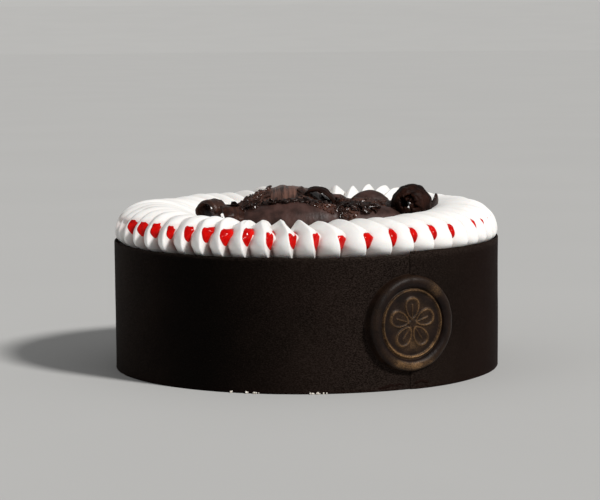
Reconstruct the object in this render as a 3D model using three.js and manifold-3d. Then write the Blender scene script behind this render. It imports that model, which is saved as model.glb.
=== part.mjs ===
// A black forest cake: a sponge drum wrapped in a strip of dark chocolate that a moulded chocolate seal holds shut,
// topped with piped petals of whipped cream and a heap of broad chocolate shavings.
// Millimetres, +Z up. The origin is the centre of the underside. Azimuth 0 is the front (-Y) and grows towards +X.
import * as THREE from "three";
import { mergeVertices } from "three/addons/utils/BufferGeometryUtils.js";
import Module from "manifold-3d";

const wasm = await Module();
wasm.setup();

// Driving dimensions.
const gap = 0.3; // clearance kept between pieces that touch
const strip = { outerRadius: 101.5, thickness: 1.2, height: 67, rise: 1.9, seamAzimuth: 30, overlap: 8, easing: 26 };
const stripInnerRadius = strip.outerRadius - strip.thickness;
const drum = { radius: stripInnerRadius - gap, height: 64.5, facets: 64 };
const cream = {
  petals: 51,
  firstGroove: 2.9, // azimuth of the first groove's foot
  crowding: 0.9,
  neckRadius: stripInnerRadius - gap, // where it passes down inside the strip
  rimHeight: strip.height + strip.rise,
  springHeight: 71.5, // height of the widest point
  bulgeRadius: 101,
  crestRadius: 80,
  crestHeight: 85.7,
  sideRise: 0.8, // the crests stand higher at the sides than at the front and back
  frontDrop: 0.9,
  faceRelief: 3.8, // depth of the grooves on the outer face
  outline: 2.2, // exponent of the rounded shoulder
  wellHeight: 73,
};
const bed = { centre: [3, -5], reach: [45, 39], foot: 73.6, edge: 76.4, crown: 85 };
const seal = { azimuth: 30, height: 33, radius: 24, face: 105.6, field: 103.4, lip: 3.2, ringRadius: 16.7, petals: 5 };

const materials = {
  sponge: new THREE.MeshStandardMaterial({ color: 0x2e1a12, roughness: 0.95, metalness: 0 }),
  band: new THREE.MeshStandardMaterial({ color: 0x1c1311, roughness: 0.62, metalness: 0 }),
  seal: new THREE.MeshStandardMaterial({ color: 0x2a1c12, roughness: 0.5, metalness: 0.15 }),
  cream: new THREE.MeshStandardMaterial({ color: 0xf7f3ec, roughness: 0.55, metalness: 0 }),
  shaving: new THREE.MeshStandardMaterial({ color: 0x24150f, roughness: 0.4, metalness: 0 }),
};

const radians = THREE.MathUtils.degToRad;

// A repeatable number from -1 to 1 for item i and purpose k.
function wobble(i, k) {
  const n = Math.sin(i * 12.9898 + k * 78.233) * 43758.5453;
  return 2 * (n - Math.floor(n)) - 1;
}

// A point at an azimuth in degrees, a radius and a height.
function polar(azimuth, radius, height) {
  const a = radians(azimuth);
  return new THREE.Vector3(radius * Math.sin(a), -radius * Math.cos(a), height);
}

// ---- solids ----

function geometryOf(points, faces) {
  const geometry = new THREE.BufferGeometry().setFromPoints(points);
  geometry.setIndex(faces.flat());
  return geometry;
}

function toSolid(geometry) {
  const bare = geometry.clone();
  bare.deleteAttribute("normal");
  bare.deleteAttribute("uv");
  const merged = mergeVertices(bare, 1e-4);
  const solid = new wasm.Manifold(
    new wasm.Mesh({
      numProp: 3,
      vertProperties: new Float32Array(merged.attributes.position.array),
      triVerts: new Uint32Array(merged.index.array),
    }),
  );
  return solid;
}

function toGeometry(solid) {
  const mesh = solid.getMesh();
  const geometry = new THREE.BufferGeometry();
  const points = new Float32Array(mesh.numVert * 3);
  for (let i = 0; i < mesh.numVert; i++) {
    points.set(mesh.vertProperties.subarray(i * mesh.numProp, i * mesh.numProp + 3), i * 3);
  }
  geometry.setAttribute("position", new THREE.BufferAttribute(points, 3));
  geometry.setIndex(new THREE.BufferAttribute(mesh.triVerts, 1));
  return geometry;
}

// The largest piece of what a cut leaves, so that no crumb is cut loose.
function largest(solid) {
  return solid.decompose().reduce((a, b) => (b.volume() > a.volume() ? b : a));
}

// A closed body of revolution whose rings may be uneven: ring j of n points, closed by a fan at each end.
function stackOfRings(rings, firstPole, lastPole) {
  const n = rings[0].length;
  const points = [...rings.flat(), firstPole, lastPole];
  const first = points.length - 2;
  const last = points.length - 1;
  const faces = [];
  const end = (rings.length - 1) * n;
  for (let i = 0; i < n; i++) {
    const next = (i + 1) % n;
    faces.push([first, next, i], [last, end + i, end + next]);
    for (let j = 0; j + 1 < rings.length; j++) {
      const [a, b] = [j * n + i, j * n + next];
      faces.push([a, b, b + n], [a, b + n, a + n]);
    }
  }
  return geometryOf(points, faces);
}

// A closed sheet: surface(u, v) is its middle, for u and v from 0 to 1, and depth(u, v) its thickness there.
// extra swells it on both faces and at every edge.
function thickSheet(surface, depth, extra, uSteps, vSteps) {
  const sides = [[], []];
  const step = 1e-3;
  const outwards = (value) => extra * (value === 1 ? 1 : value === 0 ? -1 : 0);
  for (let i = 0; i <= uSteps; i++) {
    for (let j = 0; j <= vSteps; j++) {
      const [u, v] = [i / uSteps, j / vSteps];
      const along = surface(u + step, v).sub(surface(u - step, v));
      const across = surface(u, v + step).sub(surface(u, v - step));
      const normal = along.clone().cross(across).normalize().multiplyScalar(depth(u, v) / 2 + extra);
      const middle = surface(u, v);
      middle.addScaledVector(along.normalize(), outwards(u));
      middle.addScaledVector(across.normalize(), outwards(v));
      sides[0].push(middle.clone().add(normal));
      sides[1].push(middle.clone().sub(normal));
    }
  }
  const points = sides.flat();
  const under = sides[0].length;
  const at = (i, j) => i * (vSteps + 1) + j;
  const faces = [];
  for (let i = 0; i < uSteps; i++) {
    for (let j = 0; j < vSteps; j++) {
      const [a, b, c, d] = [at(i, j), at(i + 1, j), at(i + 1, j + 1), at(i, j + 1)];
      faces.push([a, b, c], [a, c, d]);
      faces.push([a + under, c + under, b + under], [a + under, d + under, c + under]);
    }
  }
  const wall = (a, b) => faces.push([a, a + under, b + under], [a, b + under, b]);
  for (let i = 0; i < uSteps; i++) {
    wall(at(i, 0), at(i + 1, 0));
    wall(at(i + 1, vSteps), at(i, vSteps));
  }
  for (let j = 0; j < vSteps; j++) {
    wall(at(uSteps, j), at(uSteps, j + 1));
    wall(at(0, j + 1), at(0, j));
  }
  return geometryOf(points, faces);
}

// ---- the drum and the strip round it ----

function drumGeometry() {
  return new THREE.CylinderGeometry(drum.radius, drum.radius, drum.height, drum.facets)
    .rotateX(Math.PI / 2)
    .translate(0, 0, drum.height / 2);
}

// How far the strip stands out from its own first layer: its outer end lies over the inner one, then eases down.
function stripLift(turned) {
  const eased = THREE.MathUtils.clamp((turned - strip.overlap) / strip.easing, 0, 1);
  return (strip.thickness + gap) * (1 - THREE.MathUtils.smoothstep(eased, 0, 1));
}

// The strip is cut a little askew, so its top edge steps where the ends meet.
function stripTop(turned) {
  return strip.height + strip.rise * Math.max(0, 1 - turned / 360);
}

function stripGeometry() {
  const steps = 72;
  const length = 360 + strip.overlap;
  const sections = [];
  for (let i = 0; i <= steps; i++) {
    const turned = (length * i) / steps;
    const azimuth = strip.seamAzimuth + turned;
    const inner = stripInnerRadius + stripLift(turned);
    const outer = inner + strip.thickness;
    const top = stripTop(turned);
    sections.push([
      polar(azimuth, inner, 0),
      polar(azimuth, outer, 0),
      polar(azimuth, outer, top),
      polar(azimuth, inner, top),
    ]);
  }
  const faces = [];
  for (let i = 0; i < steps; i++) {
    for (let k = 0; k < 4; k++) {
      const [a, b] = [4 * i + k, 4 * i + ((k + 1) % 4)];
      faces.push([a, a + 4, b + 4], [a, b + 4, b]);
    }
  }
  const end = 4 * steps;
  faces.push([0, 1, 2], [0, 2, 3], [end, end + 2, end + 1], [end, end + 3, end + 2]);
  return geometryOf(sections.flat(), faces);
}

// All the room inside the strip's outer face and the clearance outside it, to cut what is stuck on the strip.
function stripEnvelope() {
  const outline = new THREE.Shape();
  const steps = 180;
  for (let i = 0; i < steps; i++) {
    const turned = (360 * i) / steps;
    const radius = stripInnerRadius + strip.thickness + stripLift(turned) + gap;
    const p = polar(strip.seamAzimuth + turned, radius, 0);
    if (i === 0) {
      outline.moveTo(p.x, p.y);
    } else {
      outline.lineTo(p.x, p.y);
    }
  }
  return new THREE.ExtrudeGeometry(outline, { depth: strip.height, bevelEnabled: false });
}

// ---- the seal ----

// A stamped disc with a rolled lip, a fine ring and a five-petalled blossom, lying against the strip.
function sealGeometry() {
  const lipRadius = seal.radius - seal.lip;
  const lipHeight = seal.face - seal.lip;
  const backed = strip.outerRadius - 4;
  const profile = [[0, backed], [seal.radius, backed]];
  for (let a = 0; a <= 150; a += 25) {
    profile.push([
      lipRadius + seal.lip * Math.cos(radians(a)),
      lipHeight + seal.lip * Math.sin(radians(a)),
    ]);
  }
  const ringRise = 0.9;
  const ringHalf = 0.5;
  profile.push(
    [seal.ringRadius + 2 * ringHalf, seal.field],
    [seal.ringRadius + ringHalf, seal.field + ringRise],
    [seal.ringRadius - ringHalf, seal.field + ringRise],
    [seal.ringRadius - 2 * ringHalf, seal.field],
    [0, seal.field],
  );
  const disc = new THREE.LatheGeometry(profile.map(([r, h]) => new THREE.Vector2(r, h)), 36).rotateX(Math.PI / 2);
  let solid = toSolid(disc);
  const blossom = { petalLength: 5.6, petalWidth: 4.2, rise: 1.1, reach: 7.4, heart: 2.4 };
  for (let i = 0; i < seal.petals; i++) {
    const petal = new THREE.SphereGeometry(1, 10, 4)
      .scale(blossom.petalWidth, blossom.petalLength, blossom.rise)
      .translate(0, blossom.reach, seal.field)
      .rotateZ((i * 2 * Math.PI) / seal.petals);
    solid = solid.add(toSolid(petal));
  }
  const heart = new THREE.SphereGeometry(1, 10, 4)
    .scale(blossom.heart, blossom.heart, blossom.rise)
    .translate(0, 0, seal.field + 0.4);
  solid = solid.add(toSolid(heart));
  const placed = toGeometry(solid)
    .rotateX(Math.PI / 2)
    .rotateZ(radians(seal.azimuth))
    .translate(0, 0, seal.height);
  return toGeometry(largest(toSolid(placed).subtract(toSolid(stripEnvelope()))));
}

// ---- the whipped cream ----

// The rings that a piped petal passes through, from the rim up its face, over the shoulder and into the well.
// turn counts degrees round the shoulder from the widest point. ridge and valley say how many degrees of azimuth the
// petal's ridge and the valley beside it lie from the foot of its groove: the petals swing over as they run inwards.
// Below the shoulder the slope right of the ridge is hollow, where the cherry gel sits, and full is how far it swells.
const creamRings = [
  { ridge: -0.6, valley: 0.3, full: 0, radius: cream.neckRadius, height: cream.rimHeight, depth: 2.4 },
  { ridge: -0.6, valley: 0.4, full: 0, turn: 0 },
  { ridge: -1.1, valley: 1.4, full: 0, turn: 20 },
  { ridge: -1.6, valley: 2, full: 0.1, turn: 38 },
  { ridge: -2.6, valley: 0.9, full: 1, turn: 52 },
  { ridge: -4, valley: -0.8, full: 1, turn: 70 },
  { ridge: -5.2, valley: -2.2, full: 1, turn: 90 },
  { ridge: -7.4, valley: -4.2, full: 1, radius: 64, drop: 4.6, relief: 0.85 },
  { ridge: -9.8, valley: -6.4, full: 1, radius: 49, height: cream.wellHeight + 3.6, relief: 0.5 },
];

// The azimuth of a groove's foot: the grooves lie a little closer together at the front and the back.
function grooveAzimuth(i) {
  const even = cream.firstGroove + (360 / cream.petals) * i;
  return even + cream.crowding * (1 - Math.cos(radians(4 * even))) + 0.25 * wobble(i % cream.petals, 5);
}

// How deep the valleys are on top: deep at the front, almost smooth at the sides, deepest at the back right.
function topRelief(azimuth) {
  const from = (centre, width) => Math.exp(-(((((azimuth - centre + 540) % 360) - 180) / width) ** 2));
  return 1 + 2.9 * from(-8, 32) + 3.6 * from(148, 24);
}

function crestTop(azimuth, petal) {
  const sides = cream.sideRise * Math.cos(radians(2 * azimuth));
  return cream.crestHeight - sides - cream.frontDrop * Math.cos(radians(azimuth)) + 0.8 * wobble(petal, 1);
}

// One point of the cream: share is 0 in the valley and 1 on the ridge.
function creamPoint(azimuth, share, ring, petal) {
  const top = crestTop(azimuth, petal);
  const relief = topRelief(azimuth) * (1 + 0.2 * wobble(petal, 3));
  const low = 1 - share;
  if (ring.turn === undefined) {
    const height = ring.height ?? top - ring.drop;
    return polar(azimuth, ring.radius - low * (ring.depth ?? 0), height - low * relief * (ring.relief ?? 0));
  }
  const power = 2 / cream.outline;
  const out = Math.cos(radians(ring.turn)) ** power;
  const up = Math.sin(radians(ring.turn)) ** power;
  const reach = cream.bulgeRadius + 0.35 * wobble(petal, 4) - cream.crestRadius;
  return polar(
    azimuth,
    cream.crestRadius + (reach - low * cream.faceRelief) * out,
    cream.springHeight + (top - cream.springHeight - low * relief) * up,
  );
}

// Each petal is four columns wide: its valley, halfway up to the ridge, the ridge and halfway down beyond it.
function creamGeometry() {
  const columns = [];
  for (let i = 0; i < cream.petals; i++) {
    const here = grooveAzimuth(i);
    const next = grooveAzimuth(i + 1);
    const valley = (ring) => here + ring.valley;
    const ridge = (ring) => next + ring.ridge;
    const beyond = (ring) => next + (ring.ridge + ring.valley) / 2;
    columns.push(
      creamRings.map((ring) => creamPoint(valley(ring), 0, ring, i)),
      creamRings.map((ring) => creamPoint((valley(ring) + ridge(ring)) / 2, 0.72, ring, i)),
      creamRings.map((ring) => creamPoint(ridge(ring), 1, ring, i)),
      creamRings.map((ring) => creamPoint(beyond(ring), THREE.MathUtils.lerp(0.35, 0.76, ring.full), ring, i)),
    );
  }
  const bottom = drum.height + gap;
  const rings = [columns.map(([p]) => new THREE.Vector3(p.x, p.y, 0).setLength(cream.neckRadius - 1).setZ(bottom))];
  for (let j = 0; j < creamRings.length; j++) {
    rings.push(columns.map((c) => c[j]));
  }
  return stackOfRings(rings, new THREE.Vector3(0, 0, bottom), new THREE.Vector3(0, 0, cream.wellHeight));
}

// ---- the chocolate shavings ----

// A shaving curls round its own X axis: sweep is how far round it goes, apex up, and coil is what the radius loses over
// the sweep. wide stretches it sideways, barrel draws its two ends in, taper shortens it towards its first and last edges.
const shavings = {
  curl_front: { at: [-9, -45.5, 84.4], turn: [50, -3, 2], length: 52, radius: 12.5, sweep: 118, taper: 0.25, barrel: 0.1 },
  curl_mound: { at: [-11, -13, 96], turn: [18, 1, 3], length: 55, radius: 14, sweep: 190, barrel: 0.72, thickness: 2.2 },
  curl_arc: { at: [11.5, -18, 94.8], turn: [34, -12, 80], length: 10, radius: 11.5, sweep: 128, taper: 0.2, thickness: 1.6 },
  curl_left: { at: [-50, -28, 89.4], turn: [20, -8, 76], length: 9, radius: 4.8, wide: 1.55, sweep: 316, coil: 1.6, taper: 0.3 },
  chunk_left: { at: [-36.5, -42, 84.8], turn: [24, 14, 22], length: 13, radius: 9, sweep: 90, thickness: 3.4, taper: 0.3 },
  roll_back: { at: [21.5, 4, 92], turn: [10, 12, 24], length: 11, radius: 3.9, sweep: 400, coil: 1.9, taper: 0.15, thickness: 1.2 },
  curl_oval: { at: [34, 0, 92.2], turn: [18, 2, -6], length: 20.5, radius: 8, sweep: 210, barrel: 0.66 },
  slab_right: { at: [33, -19, 87.6], turn: [20, 5, 8], length: 33, radius: 22, sweep: 58, thickness: 2.6, taper: 0.2 },
  curl_right: { at: [31, -36.5, 83], turn: [42, 3, 14], length: 38, radius: 13, sweep: 100, taper: 0.35, barrel: 0.1 },
  curl_rose: { at: [55, -14, 97.3], turn: [-20, 8, 78], length: 18, radius: 9.8, sweep: 560, coil: 5.8, barrel: 0.3, taper: 0.2 },
  shard_right: { at: [68.6, -12, 87], turn: [66, 0, 62], length: 7.5, radius: 13, sweep: 74, thickness: 1.5, taper: 0.6 },
  curl_back: { at: [-20, 15, 90], turn: [-34, 4, 20], length: 38, radius: 10, sweep: 190, taper: 0.3, barrel: 0.25 },
  slab_back: { at: [8, 22, 88.4], turn: [-24, -6, -12], length: 34, radius: 19, sweep: 84, thickness: 2.4, taper: 0.3 },
  roll_far: { at: [38, 19, 87.6], turn: [0, 8, -38], length: 22, radius: 5.8, sweep: 430, coil: 3, taper: 0.15, thickness: 1.4 },
  curl_side: { at: [-44, -6, 86], turn: [16, 8, 112], length: 26, radius: 9, sweep: 150, taper: 0.3, barrel: 0.2 },
};

function shavingGeometry({ at, turn, length, radius, sweep, coil = 0, wide = 1, barrel = 0, taper = 0, thickness = 1.9 }, extra) {
  const place = new THREE.Matrix4()
    .makeRotationFromEuler(new THREE.Euler(...turn.map(radians), "ZYX"))
    .setPosition(...at);
  const surface = (fromEdge, fromSide) => {
    const u = fromEdge - 0.5;
    const v = fromSide - 0.5;
    const angle = u * radians(sweep);
    const drawn = 1 - barrel * 4 * v * v;
    const r = (radius - coil * (u + 0.5)) * drawn;
    const narrowed = 1 - taper * 4 * u * u;
    return new THREE.Vector3(v * length * narrowed, wide * r * Math.sin(angle), r * Math.cos(angle) - radius).applyMatrix4(place);
  };
  const depth = (u, v) => {
    const edge = Math.max(Math.abs(2 * u - 1), Math.abs(2 * v - 1));
    return thickness * (edge > 0.99 ? 0.55 : 1);
  };
  const degreesPerStep = 28;
  const uSteps = Math.max(4, Math.round(sweep / degreesPerStep));
  return thickSheet(surface, depth, extra, uSteps, barrel > 0.5 ? 8 : 4);
}

// The low heap of fine flakes that the broad shavings lie on; extra swells it on every side.
function bedGeometry(extra) {
  const columns = 32;
  const shares = [1, 1, 0.86, 0.66, 0.42, 0.2];
  const rings = shares.map((share, j) => {
    const ring = [];
    for (let i = 0; i < columns; i++) {
      const a = (i / columns) * 2 * Math.PI;
      const ragged = 1 + 0.045 * wobble(i, 21);
      const lump = j > 1 ? 1.3 * wobble(i, 30 + j) : 0;
      const rise = j > 1 ? Math.cos((share * Math.PI) / 2) ** 0.75 : 0;
      const height = j === 0 ? bed.foot - extra : bed.edge + (bed.crown - bed.edge) * rise + lump + extra;
      ring.push(
        new THREE.Vector3(
          bed.centre[0] + (bed.reach[0] * ragged * share + extra) * Math.cos(a),
          bed.centre[1] + (bed.reach[1] * ragged * share + extra) * Math.sin(a),
          height,
        ),
      );
    }
    return ring;
  });
  const [x, y] = bed.centre;
  return stackOfRings(rings, new THREE.Vector3(x, y, bed.foot - extra), new THREE.Vector3(x, y, bed.crown + extra));
}

// ---- the cake ----

const cake = new THREE.Group();

function addPiece(name, geometry, material) {
  const mesh = new THREE.Mesh(geometry, material);
  mesh.name = name;
  cake.add(mesh);
}

addPiece("sponge_drum", drumGeometry(), materials.sponge);
addPiece("chocolate_strip", stripGeometry(), materials.band);
addPiece("chocolate_seal", sealGeometry(), materials.seal);

// Each shaving makes room for the ones named before it; the bed and the cream make room for them all.
let creamSolid = toSolid(creamGeometry()).subtract(toSolid(bedGeometry(gap)));
let bedSolid = toSolid(bedGeometry(0));
const placed = [];
for (const [name, shape] of Object.entries(shavings)) {
  let solid = toSolid(shavingGeometry(shape, 0));
  for (const earlier of placed) {
    solid = solid.subtract(earlier);
  }
  const swollen = toSolid(shavingGeometry(shape, gap));
  bedSolid = bedSolid.subtract(swollen);
  creamSolid = creamSolid.subtract(swollen);
  placed.push(swollen);
  addPiece(name, toGeometry(largest(solid)), materials.shaving);
}
addPiece("flake_bed", toGeometry(largest(bedSolid)), materials.shaving);
addPiece("whipped_cream", toGeometry(largest(creamSolid)), materials.cream);

export default cake;
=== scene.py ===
# A black forest cake: a strip of dark chocolate held shut by a moulded seal, a ring of piped cream petals
# with drops of cherry gel in the grooves, and a heap of broad chocolate shavings. Shapes are worked out in
# millimetres.
import math
import bmesh
import bpy
import numpy as np
from mathutils import Euler, Matrix, Vector
from mathutils.bvhtree import BVHTree


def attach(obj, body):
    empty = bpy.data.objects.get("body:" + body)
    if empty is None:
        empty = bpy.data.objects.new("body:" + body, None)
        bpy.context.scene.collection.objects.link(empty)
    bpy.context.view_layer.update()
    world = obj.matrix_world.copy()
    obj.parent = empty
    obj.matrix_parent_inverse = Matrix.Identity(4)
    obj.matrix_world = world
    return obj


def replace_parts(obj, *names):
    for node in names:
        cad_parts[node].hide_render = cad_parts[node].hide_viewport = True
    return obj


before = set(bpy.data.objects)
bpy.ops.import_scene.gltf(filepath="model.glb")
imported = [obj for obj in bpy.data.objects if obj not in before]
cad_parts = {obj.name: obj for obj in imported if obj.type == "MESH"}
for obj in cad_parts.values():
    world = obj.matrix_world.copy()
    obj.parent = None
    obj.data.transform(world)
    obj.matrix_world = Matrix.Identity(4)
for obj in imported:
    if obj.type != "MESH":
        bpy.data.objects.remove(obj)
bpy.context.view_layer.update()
mm = 0.001
scrambling = np.array([12.9898, 78.233, 37.719])   # factors with no simple ratio between them


def scrambled(number):
    # a repeatable number from -1 to 1
    n = np.sin(number) * 43758.5453
    return 2 * (n - np.floor(n)) - 1


def wobble(item, purpose):
    return scrambled(np.asarray(item) * scrambling[0] + purpose * scrambling[1])


def smooth(low, high, value):
    # 0 at low, 1 at high and smooth between them
    share = np.clip((np.asarray(value, float) - low) / (high - low), 0, 1)
    return share * share * (3 - 2 * share)


def mixed(a, b, share):
    return a + (b - a) * share


def grain(points, size, seed):
    # smooth random relief from -1 to 1 whose bumps are about size apart
    scaled = np.asarray(points, float) / size
    base = np.floor(scaled)
    part = scaled - base
    part = part * part * (3 - 2 * part)
    total = np.zeros(scaled.shape[:-1])
    for corner in range(8):
        offset = np.array([corner & 1, corner >> 1 & 1, corner >> 2 & 1])
        weight = np.prod(np.where(offset == 1, part, 1 - part), axis=-1)
        total += weight * scrambled((base + offset) @ scrambling + seed * 4.137)
    return total


def stacked(*parts):
    return np.stack(np.broadcast_arrays(*parts), axis=-1).astype(float)


def polar(azimuth, radius, height):
    # azimuth 0 is the front and grows towards the right
    a = np.radians(azimuth)
    return stacked(radius * np.sin(a), -radius * np.cos(a), height)


def wrapped(azimuth):
    # the same azimuth between -180 and 180
    return (np.asarray(azimuth) + 540) % 360 - 180


def near(azimuth, middle, width):
    # 1 at the middle, falling softly to 0 on both sides
    return np.exp(-(wrapped(azimuth - middle) / width) ** 2)


def swelling(azimuth, swells):
    # the sum of soft rises, each with its azimuth, width and size
    return sum(size * near(azimuth, middle, width) for middle, width, size in swells)


def gridFaces(rows, columns, wrap=False):
    i, j = np.meshgrid(np.arange(rows - 1), np.arange(columns if wrap else columns - 1), indexing="ij")
    after = (j + 1) % columns
    row, rowAfter = i * columns, (i + 1) * columns
    return np.stack([row + j, row + after, rowAfter + after, rowAfter + j], -1).reshape(-1, 4)


def normals(grid):
    normal = np.cross(np.gradient(grid, axis=0), np.gradient(grid, axis=1))
    return normal / np.maximum(np.linalg.norm(normal, axis=-1, keepdims=True), 1e-9)


def closedShell(front, behind):
    # the space between two grids of points
    rows, columns = front.shape[:2]
    count = rows * columns
    sheet = gridFaces(rows, columns)
    index = np.arange(count).reshape(rows, columns)
    border = np.concatenate([index[0, :], index[1:, -1], index[-1, -2::-1], index[-2:0:-1, 0]])
    after = np.roll(border, -1)
    wall = np.stack([border, after, after + count, border + count], -1)
    points = np.concatenate([front.reshape(-1, 3), behind.reshape(-1, 3)])
    return points, np.concatenate([sheet, sheet[:, ::-1] + count, wall[:, ::-1]])


def closedSheet(middle, depth):
    # a thin closed form on both sides of a grid of points
    offset = normals(middle) * depth[..., None] / 2
    return closedShell(middle + offset, middle - offset)


def closedTube(rings, firstHub, lastHub):
    # rings of points with a fan of faces round a hub at each end
    rows, columns = rings.shape[:2]
    hub = rows * columns
    first = np.arange(columns)
    last = first + hub - columns
    firstFan = np.stack([np.full(columns, hub), np.roll(first, -1), first], -1)
    lastFan = np.stack([np.full(columns, hub + 1), last, np.roll(last, -1)], -1)
    points = np.concatenate([rings.reshape(-1, 3), [firstHub, lastHub]])
    return points, [gridFaces(rows, columns, True), firstFan, lastFan]


def tubeMarks(**marks):
    # a value for each point of a closed tube, with none at the hubs
    return {name: np.append(values.ravel(), [0.0, 0.0]) for name, values in marks.items()}


def joined(parts):
    # several (points, faces) pairs as one
    points, faces, start = [], [], 0
    for part, corners in parts:
        points.append(part)
        faces.append(corners + start)
        start += len(part)
    return np.concatenate(points), faces


def makePiece(name, points, faces, finish, marks=None, rounded=True):
    mesh = bpy.data.meshes.new(name)
    listed = [face for group in faces for face in group.tolist()]
    mesh.from_pydata((np.asarray(points) * mm).tolist(), [], listed)
    builder = bmesh.new()
    builder.from_mesh(mesh)
    bmesh.ops.recalc_face_normals(builder, faces=builder.faces)
    builder.to_mesh(mesh)
    builder.free()
    mesh.polygons.foreach_set("use_smooth", np.full(len(mesh.polygons), rounded))
    for markName, values in (marks or {}).items():
        flat = np.ndim(values) == 1
        layer = mesh.attributes.new(markName, "FLOAT" if flat else "FLOAT_VECTOR", "POINT")
        layer.data.foreach_set("value" if flat else "vector", np.asarray(values, np.float32).ravel())
    mesh.update()
    piece = bpy.data.objects.new(name, mesh)
    bpy.context.scene.collection.objects.link(piece)
    mesh.materials.append(finish)
    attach(piece, "root")
    return piece


class Wire:
    # a socket that can be used in sums
    def __init__(self, paint, socket):
        self.paint = paint
        self.socket = socket

    def __add__(self, other):
        return self.paint.sum("ADD", self, other)

    def __radd__(self, other):
        return self.paint.sum("ADD", other, self)

    def __sub__(self, other):
        return self.paint.sum("SUBTRACT", self, other)

    def __rsub__(self, other):
        return self.paint.sum("SUBTRACT", other, self)

    def __mul__(self, other):
        return self.paint.sum("MULTIPLY", self, other)

    def __rmul__(self, other):
        return self.paint.sum("MULTIPLY", other, self)

    def step(self, low, high):
        # 0 below low, 1 above high and smooth between them
        inputs = {"Value": self, "From Min": low, "From Max": high}
        return self.paint.node("ShaderNodeMapRange", {"interpolation_type": "SMOOTHSTEP"}, inputs)


class Paint:
    # a material, and the ways of adding nodes to it
    def __init__(self, name):
        self.material = bpy.data.materials.new(name)
        self.material.use_nodes = True
        self.tree = self.material.node_tree
        self.tree.nodes.clear()
        self.place = self.node("ShaderNodeTexCoord", output="Object")

    def node(self, kind, settings=None, inputs=None, output=0):
        made = self.tree.nodes.new(kind)
        for key, value in (settings or {}).items():
            setattr(made, key, value)
        for key, value in (inputs or {}).items():
            if isinstance(value, Wire):
                self.tree.links.new(value.socket, made.inputs[key])
            else:
                made.inputs[key].default_value = value
        return None if output is None else Wire(self, made.outputs[output])

    def sum(self, operation, a, b):
        return self.node("ShaderNodeMath", {"operation": operation}, {0: a, 1: b})

    def mark(self, name, output="Fac"):
        return self.node("ShaderNodeAttribute", {"attribute_name": name}, output=output)

    def stretched(self, vector, scales):
        return self.node("ShaderNodeVectorMath", {"operation": "MULTIPLY"}, {0: vector, 1: scales})

    def noise(self, size, detail=3.0, vector=None, roughness=0.5):
        # size is the distance between bumps in millimetres
        inputs = {"Vector": vector or self.place, "Scale": 1 / (size * mm)}
        return self.node("ShaderNodeTexNoise", None, {**inputs, "Detail": detail, "Roughness": roughness})

    def cells(self, size, vector=None):
        inputs = {"Vector": vector or self.place, "Scale": 1 / (size * mm)}
        return self.node("ShaderNodeTexVoronoi", None, inputs)

    def blend(self, share, a, b):
        # a and b are colours
        a = a if isinstance(a, Wire) else (*a, 1)
        b = b if isinstance(b, Wire) else (*b, 1)
        return self.node("ShaderNodeMix", {"data_type": "RGBA"}, {0: share, 6: a, 7: b}, 2)

    def bump(self, height, distance, strength=1.0):
        inputs = {"Height": height, "Distance": distance * mm, "Strength": strength}
        return self.node("ShaderNodeBump", None, inputs)

    def finish(self, **sockets):
        inputs = {key.replace("_", " "): value for key, value in sockets.items()}
        shader = self.node("ShaderNodeBsdfPrincipled", None, inputs)
        self.node("ShaderNodeOutputMaterial", None, {"Surface": shader}, None)
        return self.material


# only the sponge's underside shows
sponge = {
    "dark": (0.016, 0.007, 0.004),
    "light": (0.06, 0.028, 0.016),
    # painted shade: the holes are darker than the crumb
    "holeShade": (0.01, 0.005, 0.003),
    "holeSpacing": 2.6,
    "roughness": 0.9,
}


def spongePaint():
    paint = Paint("darkSponge")
    crumb = paint.noise(1.6, 6, roughness=0.7)
    holes = paint.cells(sponge["holeSpacing"]).step(0.1, 0.5)
    color = paint.blend(crumb.step(0.35, 0.7), sponge["dark"], sponge["light"])
    height = crumb * 0.6 + holes * 0.4
    # the holes get the darker colour, as painted shade
    return paint.finish(
        Base_Color=paint.blend(holes, sponge["holeShade"], color), Roughness=sponge["roughness"] - crumb * 0.1,
        Normal=paint.bump(height, 1.2),
    )


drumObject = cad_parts["sponge_drum"]
drumObject.data.materials.clear()
drumObject.data.materials.append(spongePaint())
print("sponge done")


cream = {
    "petals": 51,
    "firstGroove": 2.9,      # azimuth of the first groove's foot
    "crowding": 0.9,         # how uneven the spacing is
    "springHeight": 71.5,    # height of the widest point
    "springRadius": 101.0,
    "crestRadius": 80.0,
    "crestHeight": 85.7,
    "wellHeight": 73.0,
    "sideRise": 0.8,
    "frontDrop": 1.3,
    # azimuth, width and size of the swells of the crests, and of the places where the grooves cut deeper in
    "swells": ((-121, 10, -1.2), (86, 13, 1.1), (-86, 13, 1.1), (-163, 4, 2.4), (158, 26, 3.2)),
    "deepGrooves": ((-8, 32, 2.9), (148, 24, 3.6), (158, 26, 1.6), (-158, 32, 2.2)),
    "notches": ((-6.3, 3.4, 3.6),),
    "relief": 3.8,           # depth of the grooves on the face
    "undercut": 1.7,         # the extra depth of the grooves low down
    "under": 8.0,            # how far the face rounds in below the widest point
    "power": 2 / 2.2,
    "rising": 14,            # columns up a petal's flank
    "falling": 11,           # and down its other side
    "rowSpans": ((-42, 90, 3.0), (90, 134, 2.5), (134, 170, 7.0)),   # from, to and step, along the shoulder
    "undulation": 0.22,
    "dark": (0.9, 0.885, 0.865),
    "light": (0.94, 0.93, 0.915),
    # painted shade in the grooves, strongest low down near the strip
    "grooveShade": (0.74, 0.68, 0.65),
    "stain": (0.42, 0.13, 0.1),
    "roughness": 0.46,
}
crestAlong = 90
centreAlong = crestAlong + cream["crestRadius"]
perDegree = 1.75             # millimetres on the cream's face for one degree


def softened(knots, reach=7):
    # a curve through the knots, rounded off at each
    at = np.arange(-60, 190)
    line = np.interp(at, [k[0] for k in knots], [k[1] for k in knots])
    padded = np.pad(line, reach, mode="edge")
    rounded = np.convolve(padded, np.ones(2 * reach + 1) / (2 * reach + 1), mode="valid")
    return lambda along: np.interp(along, at, rounded)


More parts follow.
